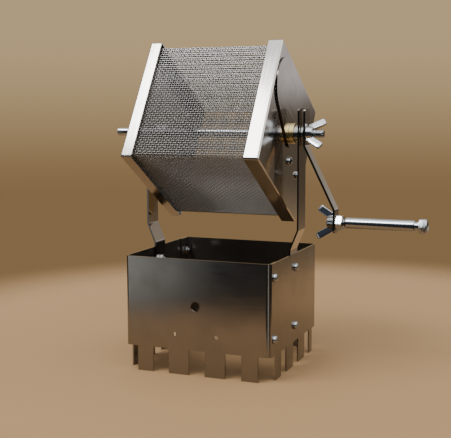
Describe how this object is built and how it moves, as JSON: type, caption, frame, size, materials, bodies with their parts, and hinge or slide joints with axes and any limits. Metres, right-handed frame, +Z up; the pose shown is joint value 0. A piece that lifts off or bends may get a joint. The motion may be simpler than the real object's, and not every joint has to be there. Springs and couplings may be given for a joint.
{
  "type": "hand-crank coffee roaster",
  "caption": "Square wire-screen roasting drum on a crank shaft between strip uprights over an open sheet-metal firebox, with a swinging loading door and a turning handle sleeve.",
  "frame": {"origin": "on the floor, in the middle of the open firebox", "axes": "+X along the shaft towards the crank, +Y away from the front sheet, +Z up"},
  "size_m": [0.2369, 0.13, 0.2337],
  "materials": {
    "firebox_sheet": "polished stainless sheet",
    "strip_steel": "polished stainless strip",
    "drum_sheet": "brushed stainless sheet",
    "wire_screen": "bright drawn stainless wire",
    "bright_zinc": "bright zinc plating",
    "brass": "turned brass"
  },
  "bodies": {
    "base": {"front_left_panel": "firebox_sheet", "rear_right_panel": "firebox_sheet", "left_upright": "strip_steel", "right_upright": "strip_steel", "base_screws": "bright_zinc", "base_nuts": "bright_zinc"},
    "drum": {"shaft": "bright_zinc", "left_pan": "drum_sheet", "right_pan": "drum_sheet", "screen_lower_front": "wire_screen", "screen_lower_back": "wire_screen", "screen_upper_back": "wire_screen", "screen_upper_front": "wire_screen", "brass_bush": "brass", "stir_vane": "drum_sheet", "vane_screws": "bright_zinc", "vane_nuts": "bright_zinc", "pan_nuts": "bright_zinc", "shaft_washers": "bright_zinc", "crank_arm": "strip_steel", "crank_wing_nut": "bright_zinc", "handle_bolt": "bright_zinc", "handle_nut": "bright_zinc", "handle_wing_nut": "bright_zinc"},
    "door": {"loading_door": "drum_sheet"},
    "grip": {"grip_sleeve": "bright_zinc"}
  },
  "joints": [
    {"name": "drum_spin", "type": "hinge", "parent": "base", "child": "drum", "pos_m": [0, 0, 0.16872], "axis": [1, 0, 0], "continuous": true},
    {"name": "door_swing", "type": "hinge", "parent": "drum", "child": "door", "pos_m": [0.051, 0, 0.16872], "axis": [1, 0, 0], "range_deg": [-127, 94]},
    {"name": "grip_spin", "type": "hinge", "parent": "drum", "child": "grip", "pos_m": [0.1166, 0, 0.10622], "axis": [1, 0, 0], "continuous": true}
  ]
}
